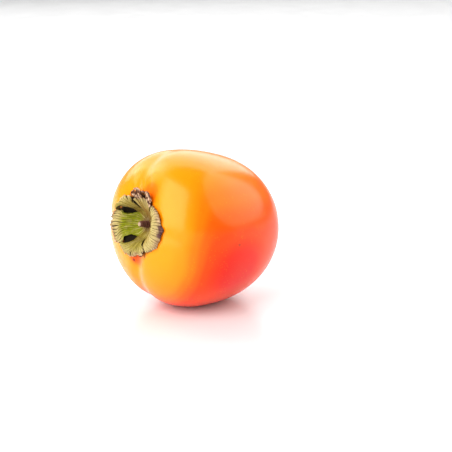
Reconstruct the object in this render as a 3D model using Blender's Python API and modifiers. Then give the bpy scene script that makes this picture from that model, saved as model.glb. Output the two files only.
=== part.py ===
"""A whole persimmon, as picked, lying on one of its four sides.

The fruit is one solid with a shallow furrow down each side and a hollow at its calyx end.
A dried calyx of four ribbed sepals sits over that hollow, a woody stem stub stands in it,
and the dry tip of the style is left in a dimple at the other end.

World frame: metres, +Z up, the calyx faces -X, the blossom end faces +X.
Fruit frame, in millimetres: z runs along the core to the calyx, x is its upper side, y is world +Y.
"""

import math

import bmesh
import bpy
import numpy as np
from mathutils import Matrix, Vector

MM = 0.001

# Fruit body
HALF_WIDTH = 38.0
CALYX_HEIGHT = 39.1
BLOSSOM_HEIGHT = 40.1
CALYX_SQUARENESS = 2.44
BLOSSOM_SQUARENESS = 2.56
TAPER = 0.126
TAPER_LENGTH = 40.0
FOUR_SIDED = 0.014
LOBE_SWELL = {45: -0.030, 135: -0.038, 225: -0.014, 315: 0.0}
FADE_FROM = 5.0
FADE_OVER = 8.0
SEGMENTS = 72
RINGS = 40
POLE_CROWDING = 0.5

# Hollow at the calyx, dimple at the blossom end
HOLLOW_DEPTH = 9.0
HOLLOW_RADIUS = 9.5
DIMPLE_DEPTH = 1.4
DIMPLE_RADIUS = 3.5

# Furrows: angle round the core, depth, twist near the calyx
FURROWS = ((7.0, 1.5, -34.0), (91.0, 1.6, 0.0), (170.0, 2.1, 45.0), (267.0, 0.5, 0.0))
FURROW_HALF_WIDTH = 3.6
FURROW_START = 8.0
FURROW_FULL = 20.0
FURROW_END_HEIGHT = 2.0
FURROW_FULL_HEIGHT = 30.0
TWIST_FROM = 10.0
TWIST_OVER = 7.0

# How the fruit lies
CORE_BOW = 0.00122
CORE_BOW_FROM = -20.0
SHOULDER_TILT = math.radians(6.0)
SHOULDER_REACH = 22.0
CALYX_RISE = 2.1
LYING_TILT = math.radians(4.3)
FLAT_SPOT_DEPTH = 0.75

# Calyx
STEM_GAP = 0.5
STYLE_GAP = 0.4
BLADE_THICKNESS = 0.7
BLADE_CLEARANCE = 1.1
STEM_HOLE_RADIUS = 2.4
JOINED_RADIUS = 6.5
INNER_ROWS = 4
BLADE_ROWS = 9
RIB_HEIGHT = 0.32
TOOTH_LENGTH = 0.22

# Stem and style tip
STEM_LENGTH = 5.9
STEM_PROFILE = ((0.0, 1.9), (0.12, 1.75), (0.38, 1.6), (0.46, 1.76), (0.54, 1.55), (0.7, 1.42),
                (0.77, 1.56), (0.84, 1.36), (1.0, 1.1))
STYLE_LENGTH = 2.6
STYLE_PROFILE = ((0.0, 1.15), (0.25, 0.8), (0.7, 0.5), (1.0, 0.3))
TURNED_STEPS = 16


def smooth_step(value):
    """0 below 0, 1 above 1, and a smooth rise between them."""
    t = np.clip(value, 0.0, 1.0)
    return t * t * (3.0 - 2.0 * t)


def angle_between(a, b):
    """The turn from b to a in degrees, between -180 and 180."""
    return (a - b + 180.0) % 360.0 - 180.0


def body_profile(theta):
    """Distance from the core, before the four-sided form, and height at an angle from the calyx."""
    c = np.cos(theta)
    blend = 0.5 * (1.0 + np.tanh(c / 0.35))
    power = BLOSSOM_SQUARENESS + (CALYX_SQUARENESS - BLOSSOM_SQUARENESS) * blend
    height = np.where(c > 0.0, CALYX_HEIGHT, BLOSSOM_HEIGHT)
    z = np.sign(c) * height * np.abs(c) ** (2.0 / power)
    rho = HALF_WIDTH * np.sin(theta) ** (2.0 / power) * (1.0 + TAPER * z / TAPER_LENGTH)
    return rho, z


def section(phi, z):
    """How far the skin stands out from a round section at an angle in degrees."""
    fade = 1.0 / (1.0 + np.exp(-(z - FADE_FROM) / FADE_OVER))
    swell = 0.0
    for lobe, amount in LOBE_SWELL.items():
        turn = np.radians(angle_between(phi, lobe))
        swell = swell + amount * np.where(np.abs(turn) < math.pi / 4, np.cos(2.0 * turn) ** 2, 0.0)
    return (1.0 - FOUR_SIDED * fade * np.cos(4.0 * np.radians(phi))) * (1.0 + swell * fade)


def furrow_depth(rho, phi, z):
    """Depth of the four furrows at a place on the skin."""
    window = smooth_step((rho - FURROW_START) / (FURROW_FULL - FURROW_START))
    window = window * smooth_step((z - FURROW_END_HEIGHT) / (FURROW_FULL_HEIGHT - FURROW_END_HEIGHT))
    depth = 0.0
    for angle, deepest, twist in FURROWS:
        middle = angle + twist * np.exp(-(rho - TWIST_FROM) / TWIST_OVER)
        across = np.radians(angle_between(phi, middle)) * rho / FURROW_HALF_WIDTH
        depth = depth + deepest * window / (1.0 + across ** 2) ** 1.5
    return depth


def skin(theta, phi):
    """Points of the fruit's skin in the fruit frame, for angles from the core and round it."""
    rho, z = body_profile(theta)
    rho = rho * section(phi, z)
    depth = furrow_depth(rho, phi, z)
    length = np.hypot(rho, z)
    rho, z = rho * (1.0 - depth / length), z * (1.0 - depth / length)
    calyx_side = z > 0.0
    z = z - np.where(calyx_side, HOLLOW_DEPTH * np.exp(-(rho / HOLLOW_RADIUS) ** 3), 0.0)
    z = z + np.where(calyx_side, 0.0, DIMPLE_DEPTH * np.exp(-(rho / DIMPLE_RADIUS) ** 2))
    return rho, z


def skin_height(rho, phi):
    """Height of the skin at a distance from the core on the calyx side, found by halving."""
    low = np.zeros_like(rho)
    high = np.full_like(rho, math.pi / 2)
    for _ in range(40):
        middle = 0.5 * (low + high)
        inside = skin(middle, phi)[0] < rho
        low = np.where(inside, middle, low)
        high = np.where(inside, high, middle)
    return skin(low, phi)[1]


def lie_down(points):
    """Fruit frame in millimetres to world metres: raised and tilted calyx end, bowed core, then the turn."""
    x, y, z = points[:, 0], points[:, 1], points[:, 2]
    rho = np.hypot(x, y)
    shoulder = np.where(z > 0.0, np.exp(-(rho / SHOULDER_REACH) ** 2), 0.0)
    drop = math.tan(SHOULDER_TILT) * x * shoulder
    x = x + CORE_BOW * np.clip(z - CORE_BOW_FROM, 0.0, None) ** 2 + CALYX_RISE * shoulder
    z = z - drop
    c, s = math.cos(LYING_TILT), math.sin(LYING_TILT)
    return MM * np.stack([x * s - z * c, y, x * c + z * s], axis=1)


def around(rho, phi, z):
    """Fruit-frame points from distances, angles in degrees and heights."""
    turn = np.radians(phi)
    return np.stack([rho * np.cos(turn), rho * np.sin(turn), z + 0.0 * rho], axis=1)


def make_material(name, color, roughness):
    material = bpy.data.materials.new(name)
    material.use_nodes = True
    shader = material.node_tree.nodes["Principled BSDF"]
    shader.inputs["Base Color"].default_value = (*color, 1.0)
    shader.inputs["Roughness"].default_value = roughness
    shader.inputs["Metallic"].default_value = 0.0
    return material


def finish_node(obj, collection, material):
    """Moves an object into the fruit's collection, shades it smooth and gives it its material."""
    for home in list(obj.users_collection):
        home.objects.unlink(obj)
    collection.objects.link(obj)
    obj.data.materials.clear()
    obj.data.materials.append(material)
    obj.data.shade_smooth()
    return obj


def make_fruit(collection):
    """The fruit: a sphere's rings reshaped into the persimmon, with a small flat spot to lie on."""
    bpy.ops.mesh.primitive_uv_sphere_add(segments=SEGMENTS, ring_count=RINGS, radius=1.0)
    obj = bpy.context.object
    obj.name = obj.data.name = "fruit"
    count = len(obj.data.vertices)
    start = np.empty(count * 3, np.float32)
    obj.data.vertices.foreach_get("co", start)
    start = start.reshape(-1, 3).astype(float)
    theta = np.arccos(np.clip(start[:, 2], -1.0, 1.0))
    theta = theta - 0.5 * POLE_CROWDING * np.sin(2.0 * theta)
    phi = np.degrees(np.arctan2(start[:, 1], start[:, 0]))
    rho, z = skin(theta, phi)
    placed = lie_down(around(rho, phi, z))
    obj.data.vertices.foreach_set("co", placed.astype(np.float32).ravel())

    floor = float(placed[:, 2].min()) + FLAT_SPOT_DEPTH * MM
    bm = bmesh.new()
    bm.from_mesh(obj.data)
    bmesh.ops.recalc_face_normals(bm, faces=bm.faces)
    cut = bmesh.ops.bisect_plane(bm, geom=bm.verts[:] + bm.edges[:] + bm.faces[:],
                                 plane_co=(0.0, 0.0, floor), plane_no=(0.0, 0.0, -1.0), clear_outer=True)
    rim = [part for part in cut["geom_cut"] if isinstance(part, bmesh.types.BMEdge)]
    bmesh.ops.contextual_create(bm, geom=rim)
    bmesh.ops.dissolve_degenerate(bm, dist=0.02 * MM, edges=bm.edges)
    bmesh.ops.recalc_face_normals(bm, faces=bm.faces)
    bm.to_mesh(obj.data)
    bm.free()
    finish_node(obj, collection, make_material("persimmon skin", (0.88, 0.27, 0.02), 0.28))
    for face in obj.data.polygons:
        if face.normal.z < -0.9999:
            face.use_smooth = False
    return obj


# The lines between sepals: turn round the stem at the disc and at the margin, bare width on each side.
CLEFTS = {"near-top": (50.0, 48.0, 0.5), "top-far": (126.0, 150.0, 1.6), "far-low": (246.0, 230.0, 1.4),
          "low-near": (306.0, 308.0, 0.4)}

# Each sepal: the clefts it starts and ends at, its ribs, and three profiles across it. A profile gives
# its reach from the core, then the heights of its ridge, its fall and its tip, counted from the level
# of the fruit's shoulder.
SEPALS = (
    ("low-near", "near-top", 13, ((15.5, 0.5, 1.0, -1.0), (19.8, 4.2, 1.4, -2.2), (16.5, 1.5, 1.0, 0.0))),
    ("near-top", "top-far", 11, ((16.5, -0.5, 1.5, 1.5), (17.8, 1.5, 2.5, 1.8), (16.2, 5.4, 5.6, 0.4))),
    ("top-far", "far-low", 12, ((15.5, -0.6, 0.0, 0.6), (18.6, 0.0, 0.8, 0.2), (16.0, -0.6, 0.0, 0.4))),
    ("far-low", "low-near", 9, ((14.8, 4.6, 3.2, -0.2), (16.0, 2.6, 1.4, -0.6), (14.6, 1.0, 0.8, -0.6))),
)


def sepal_edges(first, last, out):
    """Turns round the stem of a sepal's two edges at a share of its free length."""
    (start_in, start_out, _), (end_in, end_out, _) = CLEFTS[first], CLEFTS[last]
    start = start_in + (start_out - start_in) * smooth_step(out)
    end = end_in + (end_out - end_in) * smooth_step(out)
    return start, start + (end - start) % 360.0


def sepal_points(first, last, ribs, profiles, across, along):
    """Fruit-frame points of one sepal; across runs 0 to 1 round the stem, along 0 to 1 outwards.

    The first rows of along lie in the joined disc, and the rest is the free blade.
    """
    disc_share = INNER_ROWS / (INNER_ROWS + BLADE_ROWS)
    out = np.clip((along - disc_share) / (1.0 - disc_share), 0.0, 1.0)
    weights = np.stack([(1 - across) ** 2, 2 * across * (1 - across), across ** 2])
    reach, ridge, fall, tip = np.einsum("kn,kj->jn", weights, np.array(profiles))
    corner = np.abs(2.0 * across - 1.0) ** 5
    tooth = np.cos(2.0 * math.pi * ribs * across)
    reach = reach * (1.0 - 0.12 * corner) + TOOTH_LENGTH * tooth
    start, end = sepal_edges(first, last, out)
    phi = start + (end - start) * across - 90.0
    root_rho = np.full_like(across, JOINED_RADIUS)
    root = skin_height(root_rho, phi) + BLADE_CLEARANCE - CALYX_HEIGHT

    free = reach - JOINED_RADIUS
    rows = [(root_rho, root),
            (root_rho + 0.22 * free, root + 0.5 * (ridge - root)),
            (root_rho + 0.5 * free, 1.25 * ridge),
            (root_rho + 0.8 * free, fall),
            (reach, tip)]
    rho = 0.0
    z = CALYX_HEIGHT
    for order, (row_rho, row_z) in enumerate(rows):
        weight = math.comb(4, order) * out ** order * (1.0 - out) ** (4 - order)
        rho = rho + weight * row_rho
        z = z + weight * row_z

    inner = along < disc_share
    inner_rho = STEM_HOLE_RADIUS + (JOINED_RADIUS - STEM_HOLE_RADIUS) * along / disc_share
    rho = np.where(inner, inner_rho, rho)
    opened = np.degrees(smooth_step(4.0 * out) / rho)
    start, end = start + CLEFTS[first][2] * opened, end - CLEFTS[last][2] * opened
    phi = start + (end - start) * across - 90.0
    under = skin_height(rho, phi) + BLADE_CLEARANCE
    z = np.where(inner, under, np.maximum(z, under))
    z = z + RIB_HEIGHT * tooth * smooth_step(1.6 * out)
    return around(rho, phi, z)


def make_calyx(collection):
    """The calyx: four ribbed sepals joined in a disc round the stem, one thin blade all through."""
    bm = bmesh.new()
    for first, last, ribs, profiles in SEPALS:
        grid = bmesh.ops.create_grid(bm, x_segments=2 * ribs, y_segments=INNER_ROWS + BLADE_ROWS, size=0.5)
        across, along = 0.5 + np.array([tuple(vertex.co.xy) for vertex in grid["verts"]]).T
        placed = lie_down(sepal_points(first, last, ribs, profiles, across, along))
        for vertex, point in zip(grid["verts"], placed):
            vertex.co = point
    bmesh.ops.remove_doubles(bm, verts=bm.verts, dist=0.01 * MM)
    bmesh.ops.triangulate(bm, faces=bm.faces)
    bmesh.ops.recalc_face_normals(bm, faces=bm.faces)
    mesh = bpy.data.meshes.new("calyx")
    bm.to_mesh(mesh)
    bm.free()
    obj = bpy.data.objects.new("calyx", mesh)
    bpy.context.scene.collection.objects.link(obj)
    blade = obj.modifiers.new("blade thickness", "SOLIDIFY")
    blade.thickness = BLADE_THICKNESS * MM
    blade.offset = 0.0
    return finish_node(obj, collection, make_material("dried calyx", (0.42, 0.44, 0.16), 0.65))


def make_turned(name, profile, length, foot, head, collection, material):
    """A turned piece from its foot towards its head; the profile gives shares of its length and radii."""
    side = [(radius, share * length) for share, radius in reversed(profile)]
    outline = [(0.0, length)] + side + [(0.0, 0.0)]
    mesh = bpy.data.meshes.new(name)
    mesh.from_pydata([(radius * MM, 0.0, height * MM) for radius, height in outline],
                     [(i, i + 1) for i in range(len(outline) - 1)], [])
    obj = bpy.data.objects.new(name, mesh)
    turned = obj.modifiers.new("turned", "SCREW")
    turned.steps = turned.render_steps = TURNED_STEPS
    turned.use_merge_vertices = True
    turned.merge_threshold = 0.01 * MM
    direction = Vector(head) - Vector(foot)
    turn = Vector((0.0, 0.0, 1.0)).rotation_difference(direction).to_matrix().to_4x4()
    obj.matrix_world = Matrix.Translation(foot) @ turn
    bpy.context.scene.collection.objects.link(obj)
    return finish_node(obj, collection, material)


def make_stem(collection):
    """The woody stem stub, standing in the hollow through the hole in the calyx."""
    foot_height = float(skin_height(np.zeros(1), np.zeros(1))[0]) + STEM_GAP
    ends = lie_down(np.array([[0.0, 0.0, foot_height], [0.0, 0.0, foot_height + STEM_LENGTH]]))
    material = make_material("woody stem", (0.17, 0.06, 0.035), 0.75)
    return make_turned("stem", STEM_PROFILE, STEM_LENGTH, ends[0], ends[1], collection, material)


def make_style_tip(collection):
    """The dry tip of the style in its dimple at the blossom end."""
    foot_height = float(skin(np.array([math.pi]), np.zeros(1))[1][0]) - STYLE_GAP
    ends = lie_down(np.array([[0.0, 0.0, foot_height], [0.0, 0.0, foot_height - STYLE_LENGTH]]))
    material = make_material("dry style", (0.06, 0.03, 0.02), 0.8)
    return make_turned("style_tip", STYLE_PROFILE, STYLE_LENGTH, ends[0], ends[1], collection, material)


def stand_on_origin(objects):
    """Moves all pieces together so that their box stands on the origin by the middle of its base."""
    bpy.context.view_layer.update()
    graph = bpy.context.evaluated_depsgraph_get()
    corners = []
    for obj in objects:
        evaluated = obj.evaluated_get(graph)
        mesh = evaluated.to_mesh()
        corners += [evaluated.matrix_world @ vertex.co for vertex in mesh.vertices]
        evaluated.to_mesh_clear()
    corners = np.array(corners)
    low, high = corners.min(axis=0), corners.max(axis=0)
    shift = Vector((-0.5 * (low[0] + high[0]), -0.5 * (low[1] + high[1]), -low[2]))
    for obj in objects:
        obj.matrix_world = Matrix.Translation(shift) @ obj.matrix_world


def main():
    for obj in list(bpy.data.objects):
        bpy.data.objects.remove(obj, do_unlink=True)
    bpy.context.scene.unit_settings.system = "METRIC"
    collection = bpy.data.collections.new("persimmon")
    bpy.context.scene.collection.children.link(collection)
    stand_on_origin([make_fruit(collection), make_calyx(collection), make_stem(collection),
                     make_style_tip(collection)])


main()
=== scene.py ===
"""A whole persimmon on a white table: the finish of each piece, the light and the camera.

Lengths are millimetres in the named values and metres in the scene. The fruit frame is the one the
fruit grew in: z along its core to the calyx, x its upper side, y away from the camera's side.
"""

import math

import bpy
import numpy as np
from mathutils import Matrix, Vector, noise
from mathutils.bvhtree import BVHTree


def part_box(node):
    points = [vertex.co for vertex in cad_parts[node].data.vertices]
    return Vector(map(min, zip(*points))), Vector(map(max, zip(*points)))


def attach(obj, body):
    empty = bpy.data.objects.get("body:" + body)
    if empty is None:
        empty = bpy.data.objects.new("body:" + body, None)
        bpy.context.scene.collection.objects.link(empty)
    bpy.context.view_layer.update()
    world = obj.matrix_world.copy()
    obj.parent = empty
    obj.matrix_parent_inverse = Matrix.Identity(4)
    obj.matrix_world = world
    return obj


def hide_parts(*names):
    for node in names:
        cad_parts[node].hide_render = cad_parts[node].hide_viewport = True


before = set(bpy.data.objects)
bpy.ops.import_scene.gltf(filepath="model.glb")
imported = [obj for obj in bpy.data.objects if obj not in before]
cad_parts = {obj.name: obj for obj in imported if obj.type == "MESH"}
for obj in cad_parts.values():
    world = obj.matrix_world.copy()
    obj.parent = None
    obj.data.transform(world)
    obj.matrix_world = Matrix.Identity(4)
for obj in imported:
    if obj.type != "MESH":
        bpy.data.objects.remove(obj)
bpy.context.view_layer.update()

MM = 0.001

# Camera, as the photograph was taken
CAMERA_AZIMUTH = math.radians(-41.3)
CAMERA_ELEVATION = math.radians(15.0)
CAMERA_DISTANCE = 640.0
PICTURE_WIDTH = 220.6
PICTURE_PIXELS = 452
CORE_PIXEL = (196.6, 228.2)
SENSOR_WIDTH = 36.0

# The core's place in the fruit's box
BLOSSOM_END = 40.187
UPPER_SIDE = 40.191
CORE_ASIDE = 0.048

# How the fruit frame lies in the world
LYING_TILT = math.radians(4.3)
CORE_BOW = 0.00122
CORE_BOW_FROM = -20.0
SHOULDER_TILT = math.radians(6.0)
SHOULDER_REACH = 22.0
CALYX_RISE = 2.1
CALYX_HEIGHT = 39.1
HOLLOW_DEPTH = 9.0

# Calyx
JOINED_RADIUS = 6.5
BLADE_THICKNESS = 0.42
BLADE_CLEARANCE = 0.62
DISC_START = 1.2
DISC_ROWS = 12
BLADE_ROWS = 40
COLUMNS_PER_RIB = 7
RIB_DEPTH = 0.75

# Small sizes: one ring of the bark, how near two points are one, and how often a surface is subdivided
BARK_RING = 2000.0 * math.pi / 5200.0
MERGE_COPY = 0.02
MERGE_SEPALS = 0.01
SMOOTH_LEVELS = 2

# The lines between sepals: turn round the stem at the disc and at the margin, bare width on each side.
# The withered top sepal has torn in two, so it counts twice.
CLEFTS = {"near-top": (50.0, 48.0, 0.3), "torn": (98.0, 103.0, 0.1), "top-far": (130.0, 156.0, 1.5),
          "far-low": (243.0, 229.0, 1.6), "low-near": (306.0, 308.0, 0.3)}

# Each sepal: its two clefts, its ribs, three profiles across it with reach, ridge, fall and tip, how lime
# its inner side is, how dark the painted shade in its grooves is, how far it has withered, and whether it has
# a dark purple patch at its tip
SEPALS = (
    ("low-near", "near-top", 21, ((15.5, 0.5, 1.0, -1.0), (19.4, 4.4, 1.4, -2.2), (17.5, -1.6, 0.2, 0.0)),
     0.1, 1.0, 0.0, 1.0),
    ("near-top", "torn", 8, ((20.2, -1.0, 0.6, 1.0), (18.6, -0.8, 0.6, 1.4), (17.0, 0.4, 1.2, 1.6)),
     0.0, 0.8, 1.0, 0.0),
    ("torn", "top-far", 7, ((16.0, 0.6, 1.8, 1.8), (14.2, 6.6, 8.6, 1.6), (14.0, 6.0, 6.6, 0.0)),
     0.3, 1.0, 0.0, 0.0),
    ("top-far", "far-low", 12, ((15.5, -0.6, 0.0, 0.6), (18.6, 0.0, 0.8, 0.2), (16.0, -0.6, 0.0, 0.4)),
     1.0, 1.0, 0.0, 0.0),
    ("far-low", "low-near", 12, ((14.8, 3.6, 3.2, 0.2), (15.2, 2.2, 1.4, -0.6), (14.6, 1.0, 0.8, -0.6)),
     0.4, 1.0, 0.0, 0.0),
)

# The table: its size, and how far its front edge is from the fruit on the camera's side
TABLE_SIZE = 6000.0
TABLE_FRONT = 2000.0

# The light: each softbox's name and shape, azimuth, elevation, half width, half height and radiance
WORLD_RADIANCE = 0.20
SOFTBOX_DISTANCE = 1500.0
SOFTBOXES = (
    ("softbox_left", "RECTANGLE", -88.0, 29.0, 25.0, 31.0, 5.4),
    ("softbox_back_left", "RECTANGLE", -160.0, 38.0, 18.0, 18.0, 2.2),
    ("softbox_back", "RECTANGLE", 150.0, 40.0, 38.0, 30.0, 2.3),
    ("bounce_right", "ELLIPSE", 50.0, 33.0, 39.0, 32.0, 2.1),
)

fruit_low, fruit_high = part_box("fruit")
CORE = Vector((fruit_high.x - BLOSSOM_END * MM, 0.5 * (fruit_low.y + fruit_high.y) + CORE_ASIDE * MM,
               fruit_high.z - UPPER_SIDE * MM))
CORE_AXIS = Vector((-math.cos(LYING_TILT), 0.0, math.sin(LYING_TILT)))


def smooth_step(value):
    """0 below 0, 1 above 1, and a smooth rise between them."""
    t = np.clip(value, 0.0, 1.0)
    return t * t * (3.0 - 2.0 * t)


def lie_down(points):
    """Fruit frame in millimetres to world metres."""
    x, y, z = points[:, 0], points[:, 1], points[:, 2]
    rho = np.hypot(x, y)
    shoulder = np.where(z > 0.0, np.exp(-(rho / SHOULDER_REACH) ** 2), 0.0)
    drop = math.tan(SHOULDER_TILT) * x * shoulder
    x = x + CORE_BOW * np.clip(z - CORE_BOW_FROM, 0.0, None) ** 2 + CALYX_RISE * shoulder
    z = z - drop
    c, s = math.cos(LYING_TILT), math.sin(LYING_TILT)
    return MM * np.stack([x * s - z * c, y, x * c + z * s], axis=1) + np.array(CORE)


def around(rho, phi, z):
    """Fruit-frame points from distances, angles in degrees and heights."""
    turn = np.radians(phi)
    return np.stack([rho * np.cos(turn), rho * np.sin(turn), z + 0.0 * rho], axis=1)


def select_only(obj):
    """Deselects everything, then selects and activates one object."""
    bpy.ops.object.select_all(action="DESELECT")
    obj.select_set(True)
    bpy.context.view_layer.objects.active = obj


def apply_modifiers(obj):
    """Makes every modifier a part of the mesh."""
    select_only(obj)
    for modifier in list(obj.modifiers):
        bpy.ops.object.modifier_apply(modifier=modifier.name)


def read_points(obj):
    """The mesh's points, one to a row."""
    points = np.empty(len(obj.data.vertices) * 3, np.float32)
    obj.data.vertices.foreach_get("co", points)
    return points.reshape(-1, 3).astype(float)


def write_points(obj, points):
    """Moves the mesh's points to new places."""
    obj.data.vertices.foreach_set("co", np.asarray(points, np.float32).ravel())
    obj.data.update()


def write_value(obj, name, values):
    """Stores one number for each point, which the material reads by its name."""
    layer = obj.data.attributes.new(name, "FLOAT", "POINT")
    layer.data.foreach_set("value", np.asarray(values, np.float32))


# The camera

def make_camera():
    """A long lens that looks down on the calyx's side of the fruit."""
    back = Vector((math.sin(CAMERA_AZIMUTH) * math.cos(CAMERA_ELEVATION),
                   -math.cos(CAMERA_AZIMUTH) * math.cos(CAMERA_ELEVATION), math.sin(CAMERA_ELEVATION)))
    right = Vector((math.cos(CAMERA_AZIMUTH), math.sin(CAMERA_AZIMUTH), 0.0))
    up = back.cross(right)
    pixel = PICTURE_WIDTH * MM / PICTURE_PIXELS
    middle = PICTURE_PIXELS / 2
    aim = CORE + right * (middle - CORE_PIXEL[0]) * pixel + up * (CORE_PIXEL[1] - middle) * pixel
    data = bpy.data.cameras.new("camera")
    data.sensor_width = SENSOR_WIDTH
    data.lens = SENSOR_WIDTH * CAMERA_DISTANCE / PICTURE_WIDTH
    camera = bpy.data.objects.new("camera", data)
    camera.location = CORE + back * CAMERA_DISTANCE * MM
    camera.rotation_mode = "QUATERNION"
    camera.rotation_quaternion = (aim - camera.location).to_track_quat("-Z", "Y")
    bpy.context.scene.collection.objects.link(camera)
    bpy.context.scene.camera = camera


# Materials

class Nodes:
    """Short calls for the nodes of one material."""

    def __init__(self, name):
        self.material = bpy.data.materials.new(name)
        self.material.use_nodes = True
        self.tree = self.material.node_tree
        self.shader = self.tree.nodes["Principled BSDF"]

    def join(self, value, socket):
        if isinstance(value, bpy.types.NodeSocket):
            self.tree.links.new(value, socket)
        else:
            socket.default_value = value

    def add(self, kind, inputs=(), out=0, **settings):
        node = self.tree.nodes.new(kind)
        for key, value in settings.items():
            setattr(node, key, value)
        for key, value in dict(inputs).items():
            self.join(value, node.inputs[key])
        return node.outputs[out]

    def place(self):
        return self.add("ShaderNodeTexCoord", out="Object")

    def value(self, name):
        return self.add("ShaderNodeAttribute", attribute_name=name, out="Fac")

    def math(self, operation, a, b=0.0, c=0.0, clamp=False):
        return self.add("ShaderNodeMath", {0: a, 1: b, 2: c}, operation=operation, use_clamp=clamp)

    def ramp(self, value, low, high, to_low=0.0, to_high=1.0):
        return self.add("ShaderNodeMapRange", {"Value": value, "From Min": low, "From Max": high,
                                               "To Min": to_low, "To Max": to_high}, clamp=True,
                        interpolation_type="SMOOTHSTEP")

    def noise(self, place, scale, detail=3.0, roughness=0.5, distortion=0.0):
        return self.add("ShaderNodeTexNoise", {"Vector": place, "Scale": scale, "Detail": detail,
                                               "Roughness": roughness, "Distortion": distortion})

    def cells(self, place, scale, randomness=1.0, feature="F1"):
        return self.add("ShaderNodeTexVoronoi", {"Vector": place, "Scale": scale, "Randomness": randomness},
                        feature=feature)

    def away(self, place, spot):
        """Distance from a spot given in millimetres."""
        return self.add("ShaderNodeVectorMath", {0: place, 1: tuple(c * MM for c in spot)},
                        operation="DISTANCE", out="Value")

    def stretched(self, place, scale, rotation=(0.0, 0.0, 0.0)):
        return self.add("ShaderNodeMapping", {"Vector": place, "Scale": scale, "Rotation": rotation})

    def mix(self, share, a, b, blend="MIX"):
        node = self.tree.nodes.new("ShaderNodeMix")
        node.data_type = "RGBA"
        node.blend_type = blend
        self.join(share, node.inputs["Factor"])
        self.join(self.colour(a), node.inputs["A"])
        self.join(self.colour(b), node.inputs["B"])
        return node.outputs["Result"]

    @staticmethod
    def colour(value):
        return (*value, 1.0) if isinstance(value, tuple) and len(value) == 3 else value

    def bands(self, value, stops):
        """Colours along a value, from (place, colour) stops."""
        node = self.tree.nodes.new("ShaderNodeValToRGB")
        ramp = node.color_ramp
        ramp.interpolation = "EASE"
        while len(ramp.elements) < len(stops):
            ramp.elements.new(0.5)
        for element, (position, colour) in zip(ramp.elements, stops):
            element.position = position
            element.color = (*colour, 1.0)
        self.join(value, node.inputs["Fac"])
        return node.outputs["Color"]

    def bump(self, height, strength, distance, normal=None):
        inputs = {"Height": height, "Strength": strength, "Distance": distance}
        if normal is not None:
            inputs["Normal"] = normal
        return self.add("ShaderNodeBump", inputs)


# Skin colours from the shoulder round the calyx to the reddest cheek, each at its place on the scale
SKIN_COLOURS = (
    (0.0, (0.96, 0.26, 0.001)),
    (0.15, (0.96, 0.235, 0.001)),
    (0.35, (0.96, 0.155, 0.001)),
    (0.5, (0.96, 0.095, 0.001)),
    (0.65, (0.93, 0.050, 0.001)),
    (1.0, (0.82, 0.001, 0.001)),
)
# Places on the skin in world millimetres; a spot or a speck also has its radius and its share. The shade
# spots are painted shade beside the calyx, and round the stem's foot the skin in the calyx's hollow is
# painted dark.
BLUSH = (-4.0, -36.0, 24.0)
CALYX_SHADE_SPOTS = (((-32.0, -6.5, 61.0), 8.0, 0.32), ((-37.3, 0.0, 29.0), 6.5, 0.55))
SPECKS = (((-37.3, 1.4, 27.6), 1.3, 0.9), ((-6.1, -38.1, 37.3), 0.9, 0.45))
STEM_FOOT = (-29.2, 0.05, 43.9)


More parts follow.
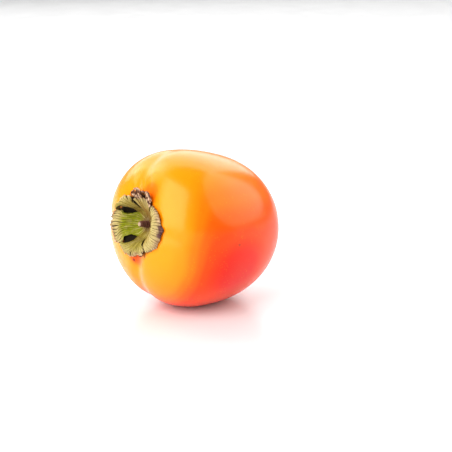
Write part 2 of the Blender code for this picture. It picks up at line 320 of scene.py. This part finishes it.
def skin_material():
    """Waxy skin: golden round the calyx, red at the sides, with a blush, painted shade beside the calyx and
    in its hollow, flecks and specks.
    """
    n = Nodes("persimmon_skin")
    place = n.place()
    parts = n.tree.nodes.new("ShaderNodeSeparateXYZ")
    n.join(place, parts.inputs[0])
    x, y, z = parts.outputs
    drift = n.math("SUBTRACT", n.noise(place, 22.0, 2.0), 0.5)
    shoulder = n.ramp(n.math("MULTIPLY_ADD", drift, 0.010, x), -0.038, -0.019)
    height = n.ramp(n.math("MULTIPLY_ADD", drift, 0.012, z), 0.030, 0.078, 0.68, 0.12)
    blush_and_shade = n.ramp(n.away(place, BLUSH), 0.004, 0.024, 0.34, 0.0)
    # Painted shade: each shade spot reddens and darkens the skin beside the calyx, where the hollow's shade
    # falls.
    for spot, size, share in CALYX_SHADE_SPOTS:
        away = n.away(place, spot)
        blush_and_shade = n.math("ADD", blush_and_shade, n.ramp(away, 0.2 * size * MM, size * MM, share, 0.0))
    redness = n.math("ADD", n.math("MULTIPLY", shoulder, height), blush_and_shade)
    colour = n.bands(redness, SKIN_COLOURS)
    flecks = n.ramp(n.cells(place, 900.0), 0.10, 0.32, 1.0, 0.0)
    fleck_share = n.math("MULTIPLY", flecks, n.ramp(n.noise(place, 160.0), 0.45, 0.7, 0.0, 0.22))
    colour = n.mix(fleck_share, colour, (1.0, 0.44, 0.01))
    uneven = n.math("MULTIPLY", n.math("SUBTRACT", n.noise(place, 900.0, 3.0), 0.5), 1.2 * MM)
    for spot, size, share in SPECKS:
        near = n.math("ADD", n.away(place, spot), uneven)
        colour = n.mix(n.ramp(near, 0.3 * size * MM, size * MM, share, 0.0), colour, (0.10, 0.012, 0.006))
    # Painted shade: within a ragged ring round the stem's foot, the skin under the calyx is darkened to near
    # black and made fully rough, so the hollow and the clefts between the sepals look dark.
    from_stem = n.away(place, STEM_FOOT)
    fringe = n.math("SUBTRACT", n.noise(place, 320.0, 4.0, 0.6), 0.5)
    ragged = n.math("MULTIPLY_ADD", fringe, 7.0 * MM, from_stem)
    hollow_shade = n.ramp(ragged, 0.0152, 0.0175, 1.0, 0.0)
    colour = n.mix(hollow_shade, colour, (0.004, 0.002, 0.002))
    n.join(colour, n.shader.inputs["Base Color"])
    rough = n.ramp(n.noise(place, 60.0, 4.0), 0.3, 0.7, 0.19, 0.25)
    n.join(n.math("MAXIMUM", rough, hollow_shade), n.shader.inputs["Roughness"])
    n.shader.inputs["Subsurface Weight"].default_value = 0.12
    n.shader.inputs["Subsurface Radius"].default_value = (1.0, 0.35, 0.08)
    n.shader.inputs["Subsurface Scale"].default_value = 3.0 * MM
    n.shader.inputs["Specular IOR Level"].default_value = 0.42
    n.shader.inputs["Specular Tint"].default_value = (1.0, 0.82, 0.42, 1.0)
    fine = n.bump(n.noise(place, 1400.0, 2.0), 0.08, 0.05 * MM)
    n.join(n.bump(n.noise(place, 110.0, 3.0), 0.25, 0.12 * MM, fine), n.shader.inputs["Normal"])
    return n.material


def calyx_material():
    """Dried sepals: lime and khaki inside, cream ribs with painted shade in the grooves between them, brown
    torn margins.
    """
    n = Nodes("dried_calyx")
    place = n.place()
    out = n.value("outward")
    mottled = n.noise(place, 420.0, 4.0, 0.6)
    fibres = n.noise(place, 1500.0, 3.0, 0.6)
    base = n.bands(out, ((0.0, (0.10, 0.045, 0.010)), (0.30, (0.24, 0.12, 0.018)), (0.52, (0.34, 0.22, 0.05)),
                         (0.78, (0.47, 0.37, 0.14)), (1.0, (0.43, 0.30, 0.15))))
    inside = n.ramp(n.math("ABSOLUTE", n.math("SUBTRACT", out, 0.42)), 0.16, 0.36, 1.0, 0.0)
    base = n.mix(n.math("MULTIPLY", n.value("lime"), inside), base, (0.21, 0.23, 0.003))
    strand = n.add("ShaderNodeCombineXYZ", {"X": n.math("MULTIPLY", n.value("strand"), 1.7),
                                            "Y": n.math("MULTIPLY", out, 2.6)})
    streaks = n.noise(strand, 1.0, 3.0, 0.6)
    base = n.mix(n.ramp(streaks, 0.50, 0.68, 0.0, 0.6), base, (0.56, 0.46, 0.17))
    base = n.mix(n.ramp(streaks, 0.32, 0.46, 0.55, 0.0), base, (0.10, 0.075, 0.012))
    base = n.mix(n.ramp(mottled, 0.45, 0.8, 0.0, 0.35), base, (0.58, 0.44, 0.20))
    withered = n.bands(mottled, ((0.34, (0.022, 0.008, 0.008)), (0.46, (0.16, 0.06, 0.028)),
                                 (0.60, (0.66, 0.44, 0.28))))
    base = n.mix(n.value("dryness"), base, withered)
    purple_tip = n.mix(n.ramp(mottled, 0.4, 0.65), (0.070, 0.028, 0.034), (0.16, 0.08, 0.07))
    base = n.mix(n.value("dark_purple"), base, purple_tip)
    base = n.mix(n.ramp(fibres, 0.35, 0.7, 0.0, 0.25), base, (0.10, 0.06, 0.02))
    # Painted shade: the grooves between the ribs are darkened to near black.
    groove_shade_share = n.math("MULTIPLY", n.ramp(n.value("rib"), 0.16, 0.58), n.value("groove_shade"))
    base = n.mix(groove_shade_share, base, (0.016, 0.009, 0.006))
    n.join(base, n.shader.inputs["Base Color"])
    n.join(n.ramp(mottled, 0.2, 0.8, 0.6, 0.85), n.shader.inputs["Roughness"])
    n.shader.inputs["Specular IOR Level"].default_value = 0.06
    n.join(n.bump(fibres, 0.5, 0.08 * MM, n.bump(mottled, 0.6, 0.15 * MM)), n.shader.inputs["Normal"])
    return n.material


def stem_material():
    """Woody stem: dark red-brown bark with a pale pink cut end."""
    n = Nodes("woody_stem")
    place = n.place()
    grain = n.noise(place, 900.0, 5.0, 0.65)
    rings = n.math("SINE", n.math("MULTIPLY", n.value("along"), 2.0 * math.pi / (BARK_RING * MM)))
    grain = n.math("ADD", grain, n.math("MULTIPLY", rings, 0.12))
    bark = n.bands(grain, ((0.25, (0.03, 0.010, 0.008)), (0.6, (0.13, 0.040, 0.026)),
                           (0.85, (0.26, 0.11, 0.07))))
    n.join(n.mix(n.value("cut"), bark, (0.40, 0.26, 0.17)), n.shader.inputs["Base Color"])
    n.shader.inputs["Roughness"].default_value = 0.7
    n.join(n.bump(grain, 0.7, 0.15 * MM), n.shader.inputs["Normal"])
    return n.material


def style_material():
    """Dry style tip: nearly black, fibrous."""
    n = Nodes("dry_style")
    grain = n.noise(n.stretched(n.place(), (300.0, 1500.0, 1500.0)), 1.0, 4.0)
    fibre = n.bands(grain, ((0.3, (0.02, 0.010, 0.007)), (0.8, (0.13, 0.065, 0.035))))
    n.join(fibre, n.shader.inputs["Base Color"])
    n.shader.inputs["Roughness"].default_value = 0.8
    n.join(n.bump(grain, 0.8, 0.1 * MM), n.shader.inputs["Normal"])
    return n.material


def floor_material():
    """White studio table with a faint gloss."""
    n = Nodes("white_table")
    n.shader.inputs["Base Color"].default_value = (0.74, 0.74, 0.74, 1.0)
    n.join(n.ramp(n.noise(n.place(), 30.0), 0.3, 0.7, 0.28, 0.34), n.shader.inputs["Roughness"])
    return n.material


# Pieces

def copy_of(node, name):
    """A merged copy of a node with its own mesh, ready to be refined."""
    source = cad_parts[node]
    obj = bpy.data.objects.new(name, source.data.copy())
    obj.matrix_world = source.matrix_world
    bpy.context.scene.collection.objects.link(obj)
    select_only(obj)
    bpy.ops.object.mode_set(mode="EDIT")
    bpy.ops.mesh.select_all(action="SELECT")
    bpy.ops.mesh.remove_doubles(threshold=MERGE_COPY * MM)
    bpy.ops.mesh.tris_convert_to_quads()
    bpy.ops.object.mode_set(mode="OBJECT")
    bpy.ops.object.transform_apply(location=True, rotation=True, scale=True)
    return obj


def refine(obj):
    """Subdivides a piece, so that its facets become one smooth surface."""
    smooth = obj.modifiers.new("smooth surface", "SUBSURF")
    smooth.levels = smooth.render_levels = SMOOTH_LEVELS
    apply_modifiers(obj)


def finish_piece(obj, node, material):
    """Gives a piece its material, lets it ride, and hides the node it stands for."""
    obj.data.materials.clear()
    obj.data.materials.append(material)
    select_only(obj)
    bpy.ops.object.shade_smooth()
    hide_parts(node)
    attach(obj, "root")
    return obj


def make_fruit():
    """The fruit's skin: the solid's form, refined to a smooth surface with its small unevenness."""
    obj = copy_of("fruit", "persimmon_fruit")
    refine(obj)
    return finish_piece(obj, "fruit", skin_material())


def skin_below(tree, points, out_of):
    """For each point, the point of the skin straight below it along the core."""
    found = []
    for point in points:
        start = Vector(point) + out_of * 20.0 * MM
        hit = tree.ray_cast(start, -out_of)[0]
        found.append(hit if hit is not None else Vector(point))
    return np.array(found)


def sepal_edges(first, last, out):
    """Turns round the stem of a sepal's two edges at a share of its free length."""
    (start_in, start_out, _), (end_in, end_out, _) = CLEFTS[first], CLEFTS[last]
    start = start_in + (start_out - start_in) * smooth_step(out)
    end = end_in + (end_out - end_in) * smooth_step(out)
    return start, start + (end - start) % 360.0


def wavering(points, size, seed):
    """Smooth noise from -1 to 1 at pairs of coordinates."""
    return np.array([noise.noise((u / size, v / size, seed)) for u, v in points])


def sepal_points(first, last, ribs, profiles, across, along, skin):
    """World points of one sepal, with the values its material reads."""
    disc_share = DISC_ROWS / (DISC_ROWS + BLADE_ROWS)
    out = np.clip((along - disc_share) / (1.0 - disc_share), 0.0, 1.0)
    weights = np.stack([(1 - across) ** 2, 2 * across * (1 - across), across ** 2])
    reach, ridge, fall, tip = np.einsum("kn,kj->jn", weights, np.array(profiles))
    corner = np.abs(2.0 * across - 1.0) ** 5
    rib_place = ribs * across
    bent = rib_place + 0.45 * wavering(zip(rib_place, 6.0 * out), 2.2, ribs + 0.5)
    depth = 0.75 + 0.5 * wavering(zip(np.round(bent), 1.5 * out), 1.3, ribs + 3.5)
    groove = 1.0 - np.abs(np.sin(math.pi * bent)) ** 0.8
    notch = wavering(zip(rib_place, 0.0 * out), 1.6, ribs + 7.5)
    reach = reach * (1.0 - 0.12 * corner) - 0.5 * groove + 1.1 * notch
    start, end = sepal_edges(first, last, out)
    root = CALYX_HEIGHT - 0.3 - HOLLOW_DEPTH * math.exp(-(JOINED_RADIUS / 9.5) ** 3)
    root = root + BLADE_CLEARANCE - CALYX_HEIGHT
    free = reach - JOINED_RADIUS
    rows = ((JOINED_RADIUS + 0.0 * free, root),
            (JOINED_RADIUS + 0.22 * free, root + 0.5 * (ridge - root)),
            (JOINED_RADIUS + 0.5 * free, 1.25 * ridge),
            (JOINED_RADIUS + 0.8 * free, fall),
            (reach, tip))
    rho = 0.0
    z = CALYX_HEIGHT
    for order, (row_rho, row_z) in enumerate(rows):
        weight = math.comb(4, order) * out ** order * (1.0 - out) ** (4 - order)
        rho = rho + weight * row_rho
        z = z + weight * row_z
    inner = along < disc_share
    rho = np.where(inner, DISC_START + (JOINED_RADIUS - DISC_START) * along / disc_share, rho)
    closing = 1.0 - 0.8 * smooth_step((out - 0.55) / 0.25)
    opened = np.degrees(smooth_step(4.0 * out) * (1.0 + 0.8 * np.sin(math.pi * out)) * closing / rho)
    start, end = start + CLEFTS[first][2] * opened, end - CLEFTS[last][2] * opened
    phi = start + (end - start) * across - 90.0
    free_share = 0.25 + 0.75 * smooth_step(1.6 * out)
    crumple = wavering(zip(rib_place, 7.0 * out), 1.9, ribs + 11.5)
    z = z + 0.9 * crumple * smooth_step(out * 1.6) - RIB_DEPTH * depth * groove * free_share
    placed = lie_down(around(rho, phi, z))
    ground = skin_below(skin, placed, CORE_AXIS)
    axis = np.array(CORE_AXIS)
    height = (placed - ground) @ axis
    wanted = np.where(inner, BLADE_CLEARANCE * MM, np.maximum(height, BLADE_CLEARANCE * MM))
    placed = ground + axis * wanted[:, None]
    return placed, rho, phi, out, np.clip(groove * depth, 0.0, 1.0)


def make_calyx(fruit):
    """The calyx: four ribbed sepals, each a grid bent into its own curl, grown together at the stem."""
    skin = BVHTree.FromPolygons([vertex.co for vertex in fruit.data.vertices],
                                [face.vertices for face in fruit.data.polygons])
    sheets = []
    for first, last, ribs, profiles, lime, groove_shade, wither, purple_tipped in SEPALS:
        bpy.ops.object.select_all(action="DESELECT")
        bpy.ops.mesh.primitive_grid_add(x_subdivisions=COLUMNS_PER_RIB * ribs,
                                        y_subdivisions=DISC_ROWS + BLADE_ROWS, size=1.0)
        sheet = bpy.context.object
        across, along = 0.5 + read_points(sheet)[:, :2].T
        placed, rho, phi, out, groove = sepal_points(first, last, ribs, profiles, across, along, skin)
        write_points(sheet, placed)
        patches = wavering(zip(ribs * across, 9.0 * out), 1.7, ribs + 20.5)
        margin = smooth_step((out - 0.80 + 0.15 * patches) / 0.18)
        withered = wither * smooth_step((out - 0.48 + 0.12 * patches) / 0.16)
        # A dark purple patch in the middle of the tip, on the sepals that have one.
        purple_tip = smooth_step((0.13 - np.abs(across - 0.53) + 0.04 * patches) / 0.05)
        purple_tip = purple_tipped * purple_tip * smooth_step((out - 0.80 + 0.10 * patches) / 0.08)
        write_value(sheet, "outward", (rho - 1.5) / 16.0)
        write_value(sheet, "rib", groove)
        write_value(sheet, "strand", ribs * (across + 3.0))
        write_value(sheet, "lime", lime * (1.0 - margin))
        write_value(sheet, "groove_shade", groove_shade * (0.35 + 0.65 * smooth_step((out - 0.05) / 0.4)))
        write_value(sheet, "dryness", np.maximum(0.55 * margin, withered))
        write_value(sheet, "dark_purple", np.maximum(purple_tip, 0.35 * withered * smooth_step((patches - 0.05) / 0.2)))
        torn = (out > 0.94) & (patches > 0.30) | (withered > 0.5) & (out > 0.5) & (patches < -0.26)
        select_only(sheet)
        sheet.data.vertices.foreach_set("select", torn)
        sheet.data.edges.foreach_set("select", np.zeros(len(sheet.data.edges), bool))
        sheet.data.polygons.foreach_set("select", np.zeros(len(sheet.data.polygons), bool))
        bpy.ops.object.mode_set(mode="EDIT")
        bpy.ops.mesh.select_mode(type="VERT")
        bpy.ops.mesh.delete(type="VERT")
        bpy.ops.object.mode_set(mode="OBJECT")
        sheets.append(sheet)
    for sheet in sheets:
        sheet.select_set(True)
    bpy.context.view_layer.objects.active = sheets[0]
    bpy.ops.object.join()
    obj = bpy.context.object
    obj.name = obj.data.name = "ribbed_calyx"
    bpy.ops.object.mode_set(mode="EDIT")
    bpy.ops.mesh.select_all(action="SELECT")
    bpy.ops.mesh.remove_doubles(threshold=MERGE_SEPALS * MM)
    bpy.ops.mesh.delete_loose()
    bpy.ops.mesh.normals_make_consistent(inside=False)
    bpy.ops.object.mode_set(mode="OBJECT")
    blade = obj.modifiers.new("blade thickness", "SOLIDIFY")
    blade.thickness = BLADE_THICKNESS * MM
    blade.offset = 0.0
    apply_modifiers(obj)
    return finish_piece(obj, "calyx", calyx_material())


def make_stem():
    """The stem: a ringed, woody stub with a pale cut end."""
    obj = copy_of("stem", "stem_stub")
    refine(obj)
    points = read_points(obj)
    tip = points @ np.array(CORE_AXIS)
    write_value(obj, "along", tip - tip.max())
    write_value(obj, "cut", smooth_step((tip - tip.max() + 0.45 * MM) / (0.25 * MM)))
    return finish_piece(obj, "stem", stem_material())


def make_style_tip():
    """The style tip: a dry point at the blossom end."""
    obj = copy_of("style_tip", "dry_style_point")
    refine(obj)
    return finish_piece(obj, "style_tip", style_material())


# The studio

def make_floor():
    """The table: a wide white sheet, square to the camera."""
    bpy.ops.object.select_all(action="DESELECT")
    bpy.ops.mesh.primitive_plane_add(size=TABLE_SIZE * MM)
    floor = bpy.context.object
    points = read_points(floor)
    turn = np.array([[math.cos(CAMERA_AZIMUTH), -math.sin(CAMERA_AZIMUTH), 0.0],
                     [math.sin(CAMERA_AZIMUTH), math.cos(CAMERA_AZIMUTH), 0.0], [0.0, 0.0, 1.0]])
    points[:, 1] += (0.5 * TABLE_SIZE - TABLE_FRONT) * MM
    write_points(floor, points @ turn.T)
    floor.name = "white_table"
    floor.data.materials.append(floor_material())


def make_softbox(name, shape, azimuth, elevation, half_width, half_height, radiance):
    """A softbox facing the fruit: azimuth 0 is the -Y side and 90 the +X side, all angles in degrees."""
    a, e = math.radians(azimuth), math.radians(elevation)
    direction = Vector((math.sin(a) * math.cos(e), -math.cos(a) * math.cos(e), math.sin(e)))
    data = bpy.data.lights.new(name, "AREA")
    data.shape = shape
    data.size = 2.0 * SOFTBOX_DISTANCE * MM * math.tan(math.radians(half_width))
    data.size_y = 2.0 * SOFTBOX_DISTANCE * MM * math.tan(math.radians(half_height))
    area = data.size * data.size_y * (1.0 if shape == "RECTANGLE" else 0.25 * math.pi)
    data.energy = radiance * math.pi * area
    light = bpy.data.objects.new(name, data)
    light.location = CORE + direction * SOFTBOX_DISTANCE * MM
    light.rotation_mode = "QUATERNION"
    light.rotation_quaternion = (-direction).to_track_quat("-Z", "Y")
    bpy.context.scene.collection.objects.link(light)


def make_studio():
    """A pale surround and the softboxes."""
    world = bpy.data.worlds.new("studio")
    world.use_nodes = True
    background = world.node_tree.nodes["Background"]
    background.inputs["Color"].default_value = (1.0, 1.0, 1.0, 1.0)
    background.inputs["Strength"].default_value = WORLD_RADIANCE
    bpy.context.scene.world = world
    bpy.context.scene.view_settings.view_transform = "Standard"
    for softbox in SOFTBOXES:
        make_softbox(*softbox)


make_camera()
make_calyx(make_fruit())
make_stem()
make_style_tip()
make_floor()
make_studio()
